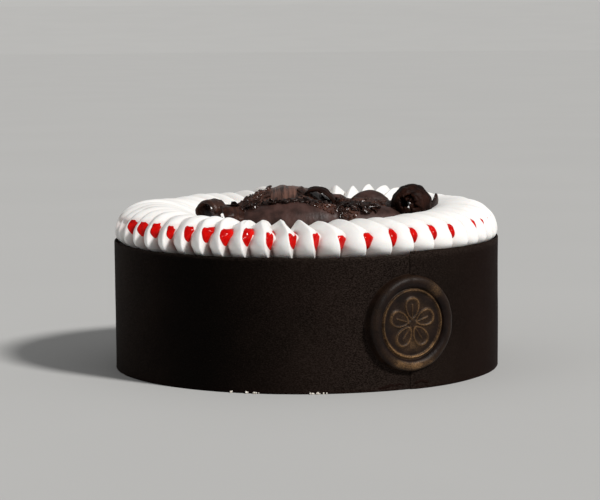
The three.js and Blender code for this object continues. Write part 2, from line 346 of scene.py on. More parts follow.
# Along is degrees round the shoulder from the widest point, and past the crest it is centreAlong less the
# radius. The ridge and the valley of a petal lie this many degrees from its groove's foot.
ridgeShift = softened([(-42, -0.6), (0, -0.6), (20, -1.1), (38, -1.6), (52, -2.6), (70, -4), (90, -5.2),
                       (106, -7.4), (121, -9.8), (134, -12), (170, -12)])
valleyShift = softened([(-42, 0.3), (0, 0.4), (20, 0.9), (38, 1.7), (52, 0.9), (70, -0.8), (90, -2.2),
                        (106, -4.2), (121, -6.4), (134, -8.6), (170, -8.6)])
reliefInward = softened([(90, 1), (106, 0.85), (121, 0.5), (134, 0), (170, 0)], 5)

petalNumber = np.arange(cream["petals"])
evenGroove = cream["firstGroove"] + 360 / cream["petals"] * petalNumber
crowded = cream["crowding"] * (1 - np.cos(np.radians(4 * evenGroove)))
grooves = evenGroove + crowded + 0.25 * wobble(petalNumber, 5)
facing = wrapped(grooves)

gel = {
    "middle": 76.8,          # height of a drop's middle
    "sag": 2.6,              # lower at the front
    "height": 6.9,
    "taller": 1.7,           # and taller there
    "halfWidth": 2.75,
    "bulge": 0.8,
    "proud": 0.85,           # they stand further out of the shallow grooves on the right
    "empty": (54, -74, -81, -88),   # the grooves nearest these azimuths have no drop
    "rows": 16,
    "columns": 11,
    "dark": (0.43, 0.0008, 0.0004),
    "light": (0.64, 0.002, 0.0008),
    "thin": (0.82, 0.02, 0.01),
    "roughness": 0.13,
}
gelMiddle = gel["middle"] - gel["sag"] * near(facing, 8, 24) + 0.5 * wobble(petalNumber, 11)
gelHeight = gel["height"] + gel["taller"] * near(facing, 5, 22) + 0.8 * wobble(petalNumber, 12)
gelHalf = gel["halfWidth"] * (1 + 0.14 * wobble(petalNumber, 13))
onRight = smooth(8, 24, facing) * (1 - smooth(62, 80, facing))
gelTop = gelMiddle + gelHeight / 2


def around(values, index):
    # the ring of petals goes on past its last one
    return values[index % cream["petals"]]


def grooveAt(index):
    return around(grooves, index) + 360 * (index // cream["petals"])


def creamFace(petal, share, falling, along):
    # a point of the cream: share runs from 0 to 1 up the flank, or down the other side where falling
    petal, share, falling, along = np.broadcast_arrays(petal, share, falling, along)
    here, after = grooveAt(petal), grooveAt(petal + 1)
    ridge, valley = ridgeShift(along), valleyShift(along)
    azimuth = np.where(
        falling,
        after + ridge + share * (valley - ridge),
        here + valley + share * (after + ridge - here - valley),
    )
    over = np.where(falling, smooth(0, 1, share), 0)

    def own(purpose):
        # a petal's own habit, which passes into the next one's on the way down
        this, following = (wobble(number % cream["petals"], purpose) for number in (petal, petal + 1))
        return mixed(this, following, over)

    turned = np.radians(azimuth)
    top = cream["crestHeight"] - cream["sideRise"] * np.cos(2 * turned) - cream["frontDrop"] * np.cos(turned)
    top = top + 0.55 * own(1) + swelling(azimuth, cream["swells"])
    relief = (1 + swelling(azimuth, cream["deepGrooves"])) * (1 + 0.2 * own(3))
    relief = relief + swelling(azimuth, cream["notches"])
    front = near(azimuth, -8, 32)
    shallow = near(azimuth, 48, 26)
    bend = np.radians(np.clip(along, -80, crestAlong))
    out = np.cos(bend) ** cream["power"]
    up = np.sign(bend) * np.abs(np.sin(bend)) ** cream["power"]
    nominal = cream["springHeight"] + (top - cream["springHeight"]) * up
    eaves = mixed(around(gelTop, petal), around(gelTop, petal + 1), np.where(falling, 1, share))
    above = nominal - eaves
    # the petal is full over the gel and hollow below, and some have a second tip
    full = np.where(falling, smooth(-1.1, 0.7, above + 0.9 * np.sin(np.pi * share)), smooth(-6, 6, above))
    full = np.maximum(full, smooth(50, 60, along))
    doubled = smooth(0.3, 0.8, own(2)) * smooth(62, 88, along) * (0.25 + 0.75 * front)
    rise = mixed(np.sin(np.pi * share / 2) ** 0.9, share ** 0.85, full)
    secondTip = 0.3 * np.exp(-((share - 0.55) / 0.2) ** 2) - 0.16 * np.exp(-((share - 0.22) / 0.14) ** 2)
    puffed = np.cos(np.pi * share / 2).clip(0) ** 0.8 + doubled * secondTip
    fall = mixed((1 - share) ** 1.6, puffed, full)
    low = 1 - np.where(falling, fall, rise)
    reach = cream["springRadius"] + 0.35 * own(4) - cream["crestRadius"]
    deeper = cream["relief"] - 1.3 * shallow
    lowDown = smooth(40, 5, along) + 1.2 * smooth(8, -16, along)
    deeper = deeper + cream["undercut"] * lowDown * (1 - 0.8 * shallow)
    radius = cream["crestRadius"] + (reach - low * deeper) * out
    height = np.where(
        along < 0,
        cream["springHeight"] + cream["under"] * up,
        cream["springHeight"] + (top - cream["springHeight"] - low * relief) * up,
    )
    inner = centreAlong - along
    sunk = smooth(30, cream["crestRadius"], inner) ** 1.3
    innerHeight = mixed(cream["wellHeight"], top, sunk) - low * relief * reliefInward(along)
    inside = along > crestAlong
    return azimuth, np.where(inside, inner, radius), np.where(inside, innerHeight, height), low


def creamUneven(points):
    # the slight unevenness of piped cream, as a shift outwards
    coarse = grain(points, 11, 3) + 0.45 * grain(points, 4.5, 4)
    return cream["undulation"] * coarse + 0.035 * grain(points, 1.3, 5)


def creamPaint():
    paint = Paint("whippedCream")
    soft = paint.noise(9, 3)
    pores = paint.noise(0.7, 4, roughness=0.65)
    bubbles = paint.cells(1.5)
    stain = paint.mark("stain")
    base = paint.blend(soft.step(0.3, 0.7), cream["dark"], cream["light"])
    # painted shade: the groove mark darkens the cream in its grooves
    shaded = paint.blend(paint.mark("groove") * 0.8, base, cream["grooveShade"])
    color = paint.blend(stain * (0.5 + soft * 0.5), shaded, cream["stain"])
    height = pores * 0.5 + bubbles.step(0.05, 0.3) * 0.12 + soft * 0.6
    return paint.finish(
        Base_Color=color, Roughness=cream["roughness"] + pores * 0.12, Normal=paint.bump(height, 0.3, 0.45),
        Subsurface_Weight=0.12, Subsurface_Radius=(0.004, 0.003, 0.0024), Subsurface_Scale=1.0, IOR=1.38,
    )


def creamStain(azimuth, height, beside):
    # a faint stain where a drop has run down its groove, and round the drops
    offset = wrapped(azimuth - grooveAt(beside) - 0.25) * perDegree
    footOfDrop = around(gelMiddle, beside) - around(gelHeight, beside) / 2
    belowDrop = 1 - smooth(footOfDrop, footOfDrop + 2, height)
    tail = np.exp(-(offset / 0.72) ** 2) * smooth(66, 69, height) * belowDrop
    halo = np.exp(-(offset / 2.6) ** 4) * smooth(footOfDrop - 1, footOfDrop + 2, height)
    halo = halo * (1 - smooth(around(gelTop, beside), around(gelTop, beside) + 1.6, height))
    return np.clip(0.95 * tail * (0.75 + 0.5 * wobble(beside % cream["petals"], 9)) + 0.3 * halo, 0, 1)


def makeCream():
    along = np.concatenate([np.arange(*span) for span in cream["rowSpans"]])[:, None]
    counts = (cream["rising"], cream["falling"])
    shares = np.concatenate([np.arange(count) / count for count in counts])
    petal = np.repeat(petalNumber, len(shares))
    share = np.tile(shares, cream["petals"])
    falling = np.tile(np.arange(len(shares)) >= cream["rising"], cream["petals"])
    azimuth, radius, height, low = creamFace(petal, share, falling, along)
    shift = creamUneven(polar(azimuth, radius, height))
    # painted shade, stronger deep in the grooves and low down towards the rim
    groove = np.clip(low, 0, 1) ** 1.5 * (0.5 + 0.5 * smooth(73, 69, height)) * (along < 128)
    stain = creamStain(azimuth, height, np.where(falling, petal + 1, petal)) * (along < 70)
    rings = polar(azimuth, radius + shift * (along < 70), height + shift * (along >= 40))
    points, faces = closedTube(rings, [0, 0, height[0].mean()], [0, 0, cream["wellHeight"]])
    marks = tubeMarks(groove=groove, stain=stain)
    piece = makePiece("whippedCream", points, faces, creamPaint(), marks)
    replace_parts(piece, "whipped_cream")


makeCream()
print("cream done")


def creamRadius(groove, azimuth, height):
    # how far out the cream stands beside a groove at each azimuth and height
    along = np.arange(-40, 62, 2.0)
    at = azimuth[..., None]
    foot = grooves[groove]
    ridge, valley = foot + ridgeShift(along), foot + valleyShift(along)
    before, after = grooveAt(groove - 1) + valleyShift(along), grooveAt(groove + 1) + ridgeShift(along)
    onFall = (at - ridge) / (valley - ridge)
    upNext = (at - valley) / (after - valley)
    upThis = (at - before) / (ridge - before)
    falling = (at >= ridge) & (at < valley)
    share = np.where(falling, onFall, np.where(at < ridge, upThis, upNext)).clip(0, 1)
    petal = np.where(at < valley, groove - 1, groove)
    _, radius, level, _ = creamFace(petal, share, falling, along)
    lines = zip(height.ravel(), level.reshape(-1, len(along)), radius.reshape(-1, len(along)))
    found = [np.interp(wanted, levels, radii) for wanted, levels, radii in lines]
    return np.reshape(found, height.shape)


def gelPaint():
    paint = Paint("cherryGel")
    cloud = paint.noise(3.2, 3)
    thin = paint.mark("thin")
    deep = paint.blend(cloud.step(0.35, 0.7), gel["dark"], gel["light"])
    color = paint.blend(thin, deep, gel["thin"])
    return paint.finish(
        Base_Color=color, Roughness=gel["roughness"] + cloud * 0.08, Normal=paint.bump(cloud, 0.5, 0.5),
        Specular_IOR_Level=0.12, Coat_Weight=0.07, Coat_Roughness=0.06, IOR=1.42,
    )


def gelDrop(k):
    # the drop beside a groove, and how thin it is at each point
    across = np.linspace(-1, 1, gel["columns"])[None, :]
    up = np.linspace(0, 1, gel["rows"])[:, None]
    foot = gelTop[k] - gelHeight[k] - 0.6
    half = gelHalf[k] * (1 + 0.08 * onRight[k]) * (1 - 0.16 * smooth(0.86, 1, up))
    half = half * np.maximum(up, 0.02) ** (0.72 - 0.3 * onRight[k]) * (1 + 0.07 * np.sin(7 * up + k))
    lean = 0.05 + 0.2 * wobble(k, 14) * up + 0.62 * onRight[k]
    azimuth = grooves[k] + lean + across * half / perDegree
    dip = 0.6 * across ** 2 - 2.3 * smooth(0.2, 1.1, across)
    level = foot + (gelTop[k] + 0.1 - foot) * up + dip * up ** 2
    under = creamRadius(k, azimuth, level)
    chord = mixed(under[:, :1], under[:, -1:], (across + 1) / 2)
    rounded = (1 - across ** 2) ** 0.75 * np.sin(np.pi * np.clip(up, 0.03, 0.97)) ** 0.5
    bulge = gel["bulge"] * (1 + 0.25 * wobble(k, 15)) + gel["proud"] * onRight[k]
    bulge = bulge * rounded * (0.45 + 0.55 * up)
    lumps = 0.16 * grain(stacked(azimuth * perDegree, level, 0.0), 2.4, 7)
    edge = np.maximum(np.abs(across) ** 6, np.maximum(1 - up * 9, 8 * up - 7).clip(0) ** 2)
    radius = mixed(np.maximum(chord, under + 0.1), under, 0.15) + bulge + lumps * (1 - edge) - 0.45 * edge
    front = polar(azimuth, radius, level)
    behind = polar(azimuth, np.minimum(under, radius) - 0.7, level)
    thin = np.clip(np.abs(across) ** 5 * 0.8 + 0.5 * smooth(0.25, 0, up), 0, 1)
    return closedShell(front, behind), thin.ravel()


def makeGel():
    empty = [int(np.argmin(np.abs(facing - azimuth))) for azimuth in gel["empty"]]
    drops = [gelDrop(k) for k in petalNumber if k not in empty]
    points, faces = joined([shell for shell, _ in drops])
    thin = np.concatenate([np.tile(values, 2) for _, values in drops])   # the same in front and behind
    makePiece("cherryGel", points, faces, gelPaint(), {"thin": thin})


makeGel()
print("gel done")


strip = {
    "radius": 101.5,
    "thickness": 1.2,
    "height": 67.0,
    "rise": 1.9,             # it is cut a little askew, so the top steps at the seam
    "seam": 30.0,
    "overlap": 8.0,
    "easing": 26.0,          # degrees over which it comes back to the cake after the overlap
    "clearance": 0.3,
    "creaseAt": 27.2,        # where the outer end was pressed down, just before the seam
    "pressed": 1.1,          # how far the outer end itself is pressed in
    "step": 0.8,             # degrees from one section to the next
    "edgeWander": 0.22,
    "roughness": 0.6,
    "dark": (0.0044, 0.0026, 0.0018),
    "light": (0.0084, 0.0051, 0.0037),
    # a reddish tint: the chocolate's own at the foot and on the smears, and a painted reddish sheen towards
    # the right
    "warm": (0.0072, 0.0019, 0.0011),
    # painted shade, a darker band on the front left
    "deep": (0.0012, 0.0009, 0.0006),
    # a paler colour: real dust on the crease, painted light at the far left, and a painted highlight in front
    # and along the top edge
    "specks": (0.019, 0.013, 0.0108),
    "dust": (0.05, 0.036, 0.03),
    # heights of the points up the outer face, and then, over the edge and down inside, how far out in the
    # thickness each point is and its share of the height
    "face": (0, 0.35, 1.2, 2.6, 5, 8, 12, 17, 22, 27, 32, 37, 42, 47, 52, 56, 60, 63, 65, 66.3),
    "edge": ((0.86, 0.996), (0.5, 1.0), (0.14, 0.995), (0, 0.985), (0, 0.9), (0, 0.6), (0, 0.3), (0, 0)),
}


def stripLift(turned):
    eased = smooth(0, 1, np.clip((turned - strip["overlap"]) / strip["easing"], 0, 1))
    return (strip["thickness"] + strip["clearance"]) * (1 - eased)


def stripOuter(azimuth):
    return strip["radius"] + stripLift((azimuth - strip["seam"]) % 360)


def stripPaint():
    paint = Paint("darkChocolateStrip")
    flat = paint.stretched(paint.place, (1.0, 1.0, 1.7))
    squiggle = paint.noise(0.85, 5, flat, 0.62)
    speck = paint.cells(0.8, flat)
    cloud = paint.noise(30, 3)
    # the marks carry painted light and shade: a painted sheen in the reddish tint, painted light and
    # highlights in the pale colour, and painted shade at the front left
    warm, dust, deep = paint.mark("warm"), paint.mark("dust"), paint.mark("deep")
    base = paint.blend(cloud.step(0.3, 0.75), strip["dark"], strip["light"])
    warmed = paint.blend(warm, base, strip["warm"])
    shaded = paint.blend(deep * 0.75, warmed, strip["deep"])
    speckled = paint.blend(squiggle.step(0.42, 0.74) * (0.6 - deep * 0.45), shaded, strip["specks"])
    color = paint.blend(dust * squiggle.step(0.4, 0.6), speckled, strip["dust"])
    height = squiggle * 0.7 + speck * 0.35 + cloud * 0.5
    return paint.finish(
        Base_Color=color, Roughness=strip["roughness"] + squiggle * 0.16 - warm * 0.12,
        Normal=paint.bump(height, 0.5, 0.6), Specular_IOR_Level=0.02,
    )


def stripMarks(azimuth, height, through, creased, body):
    # a reddish tint at the foot, a painted reddish sheen at the right, and real dust on the crease;
    # painted light at the far left, painted highlights in front and along the top edge, and painted shade at
    # the front left
    at = wrapped(azimuth) + 0 * height
    sheenTowardsRight = smooth(38, 70, at) * smooth(165, 120, at)
    nearFoot = smooth(3.0, 0.4, height) * (0.6 + 0.4 * grain(body, 6, 37))
    paintedLightFarLeft = smooth(-44, -72, at) * smooth(-165, -120, at)
    highlightAtEdge = smooth(65.6, 66.8, height) * smooth(0.3, 0.8, through)
    paintedLightAndDust = 0.3 * paintedLightFarLeft + 0.3 * near(at, 18, 20) + 0.3 * highlightAtEdge + 0.25 * creased * smooth(58, 66, height)
    warm = np.clip(0.6 * sheenTowardsRight + 0.9 * nearFoot, 0, 1)
    return tubeMarks(warm=warm, dust=np.clip(paintedLightAndDust, 0, 1), deep=near(at, -31, 17))


def makeStrip():
    turned = np.arange(0, 360 + strip["overlap"] + 0.01, strip["step"])[:, None]
    azimuth = strip["seam"] + turned
    top = strip["height"] + strip["rise"] * np.clip(1 - turned / 360, 0, None)
    inner = strip["radius"] - strip["thickness"] + stripLift(turned)
    # round the section: up the outer face, over the top edge and down the inner face
    section = [(1.0 if level else 0.75, level / strip["height"]) for level in strip["face"]]
    through, share = np.array(section + list(strip["edge"])).T[:, None, :]
    wander = polar(azimuth, 100.0, 0.0)
    edge = grain(wander, 7, 31) * strip["edgeWander"] + 0.1 * grain(wander, 1.9, 32)
    creased = near(azimuth, strip["creaseAt"], 1.9) * (turned > 300)
    edge = edge - 0.5 * creased * (0.6 + 0.4 * grain(wander, 1.3, 33))
    height = share * (top + edge)
    body = stacked(wander[..., 0], wander[..., 1], height)
    dent = 0.14 * grain(body, 24, 34) + 0.05 * grain(body, 5, 35)
    crease = 0.55 * creased * smooth(54, 64, height) * grain(body * (1, 1, 0.35), 2.1, 36)
    pressed = strip["pressed"] * np.exp(-(turned / 1.1) ** 2)
    rings = polar(azimuth, inner + through * (strip["thickness"] - pressed) + dent + crease, height)
    points, faces = closedTube(rings, rings[0].mean(axis=0), rings[-1].mean(axis=0))
    marks = stripMarks(azimuth, height, through, creased, body)
    piece = makePiece("chocolateStrip", points, faces, stripPaint(), marks)
    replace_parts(piece, "chocolate_strip")


makeStrip()
print("strip done")


seal = {
    "azimuth": 30.0,
    "height": 33.0,
    "radius": 24.0,
    "face": 105.6,           # how far out the lip's crown is from the cake's axis
    "field": 103.4,          # and the hollow field inside it
    "lip": 3.2,
    "ring": 16.7,
    "ringRise": 0.95,
    "petals": 5,
    "petalWidth": 3.9,
    "petalLength": 5.4,
    "reach": 7.6,            # from the middle to the middle of a petal
    "heart": 1.7,
    "steps": 240,            # points round it
    # share of the way back to the strip, and how much the wall flares there
    "wall": ((0.3, 1.006), (0.65, 1.014), (0.9, 1.022), (1.0, 1.03), (1.12, 1.03)),
    "dark": (0.0044, 0.002, 0.0015),
    "light": (0.0098, 0.0046, 0.0034),
    "gold": (0.32, 0.18, 0.08),
    "roughness": 0.42,
}


def sealPaint():
    paint = Paint("mouldedChocolateSeal")
    speck = paint.noise(0.55, 4, roughness=0.7)
    cloud = paint.noise(5.5, 3)
    dust = paint.mark("gold") * (0.22 + speck.step(0.42, 0.62) * 0.7)
    base = paint.blend(cloud.step(0.3, 0.7), seal["dark"], seal["light"])
    color = paint.blend(dust, base, seal["gold"])
    return paint.finish(
        Base_Color=color, Metallic=dust * 0.45, Roughness=seal["roughness"] + speck * 0.14 - cloud * 0.1,
        Normal=paint.bump(speck * 0.5 + cloud * 0.6, 0.35, 0.6), Specular_IOR_Level=0.12,
    )


def blossom(x, y):
    # a generic five-petalled blossom: the ridge round its petals, and how full they are inside
    outline, filled = np.zeros_like(x), np.zeros_like(x)
    for i in range(seal["petals"]):
        a = 2 * np.pi * i / seal["petals"]
        side = x * math.cos(a) - y * math.sin(a)
        out = x * math.sin(a) + y * math.cos(a)
        length = (out - seal["reach"]) / seal["petalLength"]
        away = np.sqrt((side / (seal["petalWidth"] * (1 + 0.28 * length))) ** 2 + length ** 2)
        vein = 0.8 * np.exp(-(side / 0.35) ** 2) * (out > 2) * (out < seal["reach"] + 2.2)
        outline = np.maximum(np.maximum(outline, np.exp(-((away - 0.94) / 0.12) ** 2)), vein)
        filled = np.maximum(filled, np.sqrt(np.clip(1 - away ** 2, 0, 1)))
    return outline, filled


def sealGold(x, y, outline):
    # gold dust on the raised parts and low on the rim, with two brushed patches
    rho = np.hypot(x, y)
    worn = smooth(-0.5, 0.5, grain(stacked(x, y, 0.0), 3.5, 47))
    onRing = np.exp(-((rho - seal["ring"]) / 0.7) ** 2) * (0.55 + 0.9 * smooth(2, -16, y))
    onRim = 1.2 * smooth(18.6, 20.3, rho) * smooth(23.6, 21.8, rho)
    onRim = onRim * smooth(-9, -20, y) * np.exp(-((x + 1) / 10) ** 2)
    patches = 0.42 * np.exp(-(((x - 1) / 4.5) ** 2 + ((y + 11) / 2.6) ** 2))
    patches = patches + 0.27 * np.exp(-(((x - 13) / 4.5) ** 2 + ((y - 16) / 3.5) ** 2))
    faint = 0.1 * smooth(seal["ring"], 9, rho) + 0.05 * smooth(19.5, 21.5, rho)
    return np.clip((0.62 * outline + onRing + onRim + patches + faint) * (0.45 + 0.55 * worn), 0, 1)


def makeSeal():
    angle = np.linspace(0, 2 * np.pi, seal["steps"], endpoint=False)[None, :]
    lipMiddle = seal["radius"] - seal["lip"]
    arc = np.radians(np.arange(150, -1, -10))
    field = np.linspace(0.25, seal["ring"] - 1.6, 44)
    aroundRing = np.linspace(seal["ring"] - 1.4, seal["ring"] + 1.3, 14)
    rho = np.concatenate([field, aroundRing, lipMiddle + seal["lip"] * np.cos(arc)])[:, None]
    lipRise = seal["face"] - seal["lip"] - seal["field"] + seal["lip"] * np.sin(arc)
    x, y = rho * np.sin(angle), rho * np.cos(angle)
    place = stacked(x, y, 0.0)
    circle = stacked(np.cos(angle), np.sin(angle), 0.0)
    slow = grain(circle * 9, 6, 41)
    # the rolled lip, the thin ring, the blossom with its heart, and some unevenness
    outline, filled = blossom(x, y)
    heart = np.maximum(np.exp(-((rho - seal["heart"]) / 0.45) ** 2), smooth(2.1, 1.2, rho))
    ring = seal["ringRise"] * np.exp(-((rho - seal["ring"]) / 0.55) ** 2) * (1 + 0.22 * grain(place, 6, 42))
    rise = np.concatenate([0 * field, 0 * aroundRing, lipRise])[:, None] + ring
    rise = rise + 0.62 * outline + 0.3 * filled + 0.7 * heart
    rise = rise + 0.12 * grain(place, 3.2, 43) + 0.05 * grain(place, 1.1, 44)
    onLip = smooth(seal["ring"] + 0.9, lipMiddle, rho)
    rise = rise + onLip * (0.32 * slow + 0.16 * grain(place, 4.5, 45))
    stretch = 1 + smooth(lipMiddle, seal["radius"], rho) * (0.011 * slow + 0.006 * grain(circle * 9, 2.4, 46))
    x, y, out = x * stretch, y * stretch, seal["field"] + rise
    # the wall runs back to the strip, and the back is closed just inside it
    surface = np.sqrt(strip["radius"] ** 2 - x[-1:] ** 2) - 0.2
    shares, flares = np.array(seal["wall"]).T[:, :, None]
    out = np.concatenate([out, mixed(out[-1:], surface, shares)])
    x, y = np.concatenate([x, x[-1:] * flares]), np.concatenate([y, y[-1:] * flares])
    gold = sealGold(x, y, np.concatenate([outline, np.zeros((len(shares), seal["steps"]))]))
    turn = np.array(Matrix.Rotation(math.radians(seal["azimuth"]), 3, "Z"))
    rings = stacked(x, -out, y + seal["height"]) @ turn.T
    points, faces = closedTube(rings, rings[0].mean(axis=0), rings[-1].mean(axis=0))
    piece = makePiece("chocolateSeal", points, faces, sealPaint(), tubeMarks(gold=gold))
    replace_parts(piece, "chocolate_seal")


makeSeal()
print("seal done")


chocolate = {
    "stepDegrees": 5.0,      # from one row of points to the next
    "stepLength": 0.85,
    "ribSpacing": 1.5,
    "edgeDepth": 0.4,        # how thin a sheet is at its edge, as a share of its thickness
    "edgeWidth": 1.6,        # over which it thins
}
usualShaving = {"thickness": 1.9, "coil": 0, "wide": 1, "barrel": 0, "taper": 0, "roll": 0}

# A shaving curls round its own X axis: sweep is how far round it goes, apex up, and coil is what the radius
# loses over the sweep. roll turns it round that axis. wide stretches it sideways, barrel draws its two ends
# in, taper shortens it towards its first and last edges. ribs, rough and ragged say how deep its scrape
# marks and its grain are, and how broken its edges.
shavings = {
    "curl_front": {
        "at": (-9, -45.5, 84.4), "turn": (50, -3, 2), "length": 53, "radius": 12.5, "sweep": 118,
        "taper": 0.25, "barrel": 0.3, "ribs": 0.08, "rough": 0.24, "ragged": 0.05, "finish": "satin",
    },
    "curl_mound": {
        "at": (-8, -15, 93.4), "turn": (20, 2, 3), "length": 58, "radius": 14, "wide": 1.22, "sweep": 190,
        "barrel": 0.88, "thickness": 2.2, "ribs": 0.5, "rough": 0.42, "ragged": 0.05, "finish": "ribbed",
    },
    "curl_arc": {
        "at": (10.6, -18, 93.0), "turn": (34, -12, 80), "length": 8, "radius": 9.2, "sweep": 128,
        "taper": 0.2, "thickness": 1.6, "ribs": 0.25, "rough": 0.5, "ragged": 0.1, "finish": "dusky",
    },
    "curl_left": {
        "at": (-49, -28, 89.8), "turn": (0, 5, -131), "length": 11, "radius": 5.1, "wide": 1.3,
        "sweep": 325, "coil": 0.8, "roll": -62, "taper": 0.15, "thickness": 2.0, "ribs": 0.25,
        "rough": 0.55, "ragged": 0.16, "finish": "rough",
    },
    "chunk_left": {
        "at": (-36.5, -42, 84.8), "turn": (24, 14, 22), "length": 13, "radius": 9, "sweep": 90,
        "thickness": 3.4, "taper": 0.3, "ribs": 0.3, "rough": 0.8, "ragged": 0.16, "finish": "reddish",
    },
    "roll_back": {
        "at": (21.5, 4, 88.4), "turn": (10, 12, 24), "length": 11, "radius": 3.9, "sweep": 400, "coil": 1.9,
        "taper": 0.15, "thickness": 1.2, "ribs": 0.1, "rough": 0.15, "ragged": 0.06, "finish": "reddish",
    },
    "curl_oval": {
        "at": (34, 0, 90.9), "turn": (18, 2, -6), "length": 20.5, "radius": 8, "sweep": 210, "barrel": 0.66,
        "ribs": 0.16, "rough": 0.2, "ragged": 0.04, "finish": "satin",
    },
    "slab_right": {
        "at": (33, -19, 85.8), "turn": (20, 5, 8), "length": 33, "radius": 22, "sweep": 58,
        "thickness": 2.6, "taper": 0.2, "ribs": 0.25, "rough": 0.85, "ragged": 0.1, "finish": "rough",
    },
    "curl_right": {
        "at": (31, -36.5, 83), "turn": (42, 3, 14), "length": 38, "radius": 13, "sweep": 100, "taper": 0.35,
        "barrel": 0.1, "ribs": 0.14, "rough": 0.14, "ragged": 0.08, "finish": "satin",
    },
    "curl_rose": {
        "at": (50.4, -14, 97.4), "turn": (-20, 8, 78), "length": 22.4, "radius": 12.0, "sweep": 560,
        "coil": 9.0, "roll": 100, "barrel": 0.55, "taper": 0.2, "ribs": 0.6, "rough": 0.95, "ragged": 0.14,
        "finish": "dusky",
    },
    "shard_right": {
        "at": (66.9, -13, 85.4), "turn": (115, 17, 59), "length": 6.2, "radius": 9.5, "sweep": 76,
        "thickness": 1.5, "taper": 0.85, "ribs": 0.12, "rough": 0.15, "ragged": 0.08, "finish": "glossy",
    },
    "curl_back": {
        "at": (-14, 16, 87.6), "turn": (-34, 4, 20), "length": 36, "radius": 10, "sweep": 190, "taper": 0.3,
        "barrel": 0.25, "ribs": 0.18, "rough": 0.2, "ragged": 0.07, "finish": "satin",
    },
    "slab_back": {
        "at": (5, 22, 86.6), "turn": (-24, 0, -12), "length": 34, "radius": 19, "sweep": 84,
        "thickness": 2.4, "taper": 0.3, "ribs": 0.2, "rough": 0.3, "ragged": 0.08, "finish": "satin",
    },
    "roll_far": {
        "at": (38, 19, 87.6), "turn": (0, 8, -38), "length": 22, "radius": 5.8, "sweep": 430, "coil": 3,
        "taper": 0.15, "thickness": 1.4, "ribs": 0.12, "rough": 0.15, "ragged": 0.06, "finish": "glossy",
    },
    "curl_side": {
        "at": (-41, -3, 84.2), "turn": (16, 8, 112), "length": 26, "radius": 9, "sweep": 150, "taper": 0.3,
        "barrel": 0.2, "ribs": 0.18, "rough": 0.3, "ragged": 0.08, "finish": "reddish",
    },
}

# pits and streaks say how strong they are, and shine is the specular level
chocolateFinishes = {
    "satin": {
        "dark": (0.024, 0.0108, 0.0084), "light": (0.064, 0.0305, 0.025), "roughness": 0.4, "pits": 0.35,
        "streaks": 0.22, "shine": 0.24,
    },
    "dusky": {
        "dark": (0.0052, 0.002, 0.0013), "light": (0.024, 0.0085, 0.0052), "roughness": 0.4, "pits": 0.9,
        "streaks": 0.9, "shine": 0.05,
    },
    "sparkling": {
        "dark": (0.016, 0.0052, 0.003), "light": (0.078, 0.027, 0.0155), "roughness": 0.12, "pits": 0.3,
        "streaks": 0.3, "shine": 0.5,
    },
    "glossy": {
        "dark": (0.0072, 0.003, 0.002), "light": (0.024, 0.0092, 0.0058), "roughness": 0.15, "pits": 0.4,
        "streaks": 0.6, "shine": 0.26,
    },
    "rough": {
        "dark": (0.0125, 0.0052, 0.0036), "light": (0.064, 0.0285, 0.0198), "roughness": 0.22, "pits": 1.0,
        "streaks": 1.0, "shine": 0.18,
    },
    "ribbed": {
        "dark": (0.0135, 0.0056, 0.0038), "light": (0.15, 0.071, 0.051), "roughness": 0.2, "pits": 0.5,
        "streaks": 1.4, "shine": 0.45,
    },
    "reddish": {
        "dark": (0.0155, 0.005, 0.003), "light": (0.06, 0.0195, 0.0105), "roughness": 0.36, "pits": 0.8,
        "streaks": 0.8, "shine": 0.18,
    },
}


def chocolatePaint(name, values):
    paint = Paint(name)
    scrape = paint.stretched(paint.mark("scrape", "Vector"), (1.0, 0.07, 1.0))
    streaks = paint.noise(0.9, 4, scrape, 0.6)
    flecks = paint.noise(0.8, 4, roughness=0.7)
    pits = paint.cells(1.3)
    cloud = paint.noise(7, 3)
    share = (streaks * (0.5 * values["streaks"]) + cloud * (1 - 0.5 * values["streaks"])).step(0.36, 0.66)
    color = paint.blend(share, values["dark"], values["light"])
    height = streaks * (0.5 * values["streaks"]) + (flecks * 0.5 + pits * 0.6) * values["pits"]
    return paint.finish(
        Base_Color=color, Roughness=values["roughness"] + cloud * 0.2 - streaks * 0.1,
        Normal=paint.bump(height, 0.45, 0.7), Specular_IOR_Level=values["shine"],
    )


chocolatePaints = {}
for finishName, finishValues in chocolateFinishes.items():
    chocolatePaints[finishName] = chocolatePaint(finishName + "Chocolate", finishValues)


def rimmed(rows, columns, spacing):
    # 0 at the edges of a grid and 1 further in
    i = np.minimum(np.arange(rows), np.arange(rows)[::-1])[:, None] * spacing[0]
    j = np.minimum(np.arange(columns), np.arange(columns)[::-1])[None, :] * spacing[1]
    return smooth(0, chocolate["edgeWidth"], np.minimum(i, j))


def brokenEdge(along, end, seed, purpose):
    # how far one of the two edges at the ends wanders from its line
    place = stacked(along, np.sign(end) * 40, seed * 9.0)
    return grain(place, 5, purpose) + 0.6 * grain(place, 1.8, purpose + 1)


